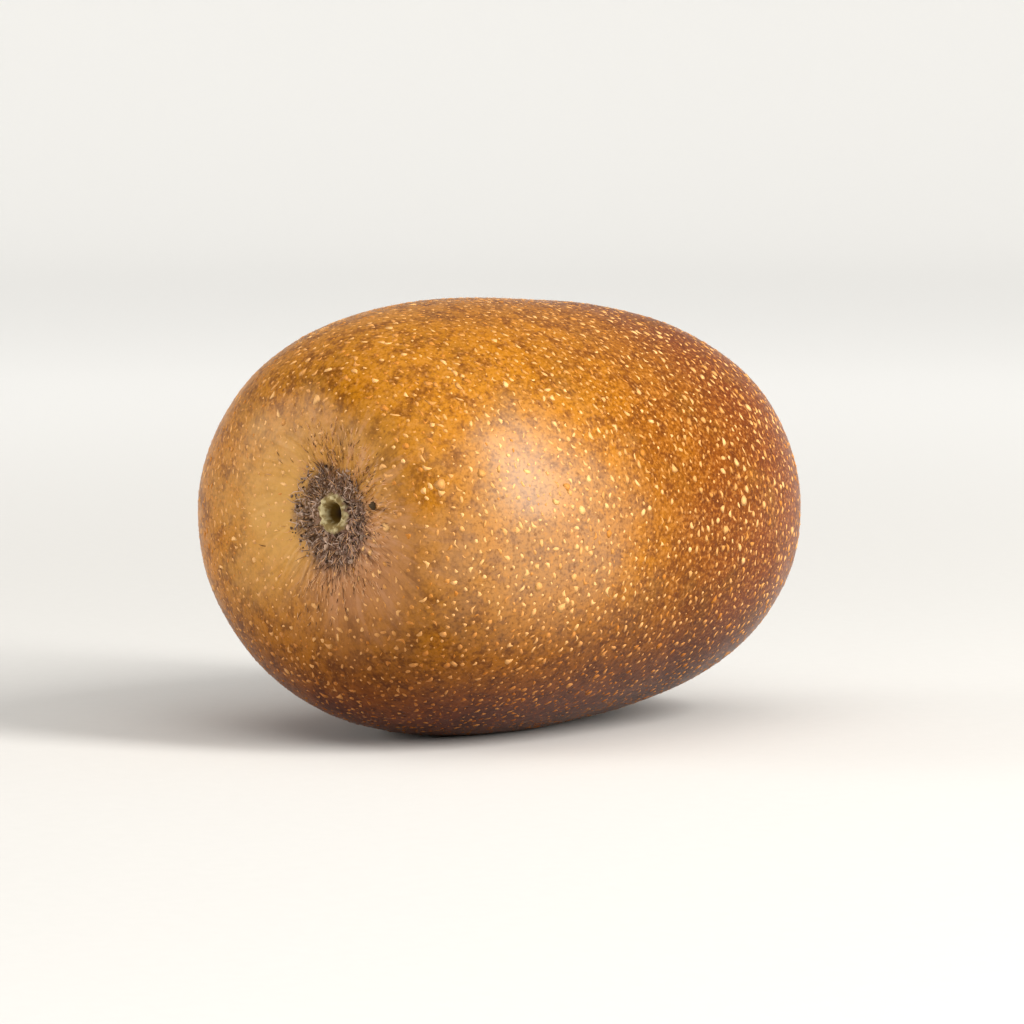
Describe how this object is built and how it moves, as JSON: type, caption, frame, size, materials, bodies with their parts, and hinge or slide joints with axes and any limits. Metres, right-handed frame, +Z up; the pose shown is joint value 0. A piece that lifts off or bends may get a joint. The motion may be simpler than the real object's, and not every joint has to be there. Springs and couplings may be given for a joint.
{
  "type": "golden kiwi fruit",
  "caption": "Whole golden kiwi fruit, a blunt oval with smooth speckled golden-brown skin, a stem scar and a low blossom end, lying on its side.",
  "frame": {"origin": "under the middle of the fruit's box, on the surface it rests on", "axes": "+X along the fruit's long axis from the stem end to the blossom end, +Y across its wider way, +Z up from its flat rest spot"},
  "size_m": [0.0708, 0.0552, 0.0501],
  "materials": {
    "kiwi_skin": "satin golden-brown fruit skin with fine pale flecks"
  },
  "bodies": {
    "root": {"kiwi_fruit": "kiwi_skin"}
  },
  "joints": []
}
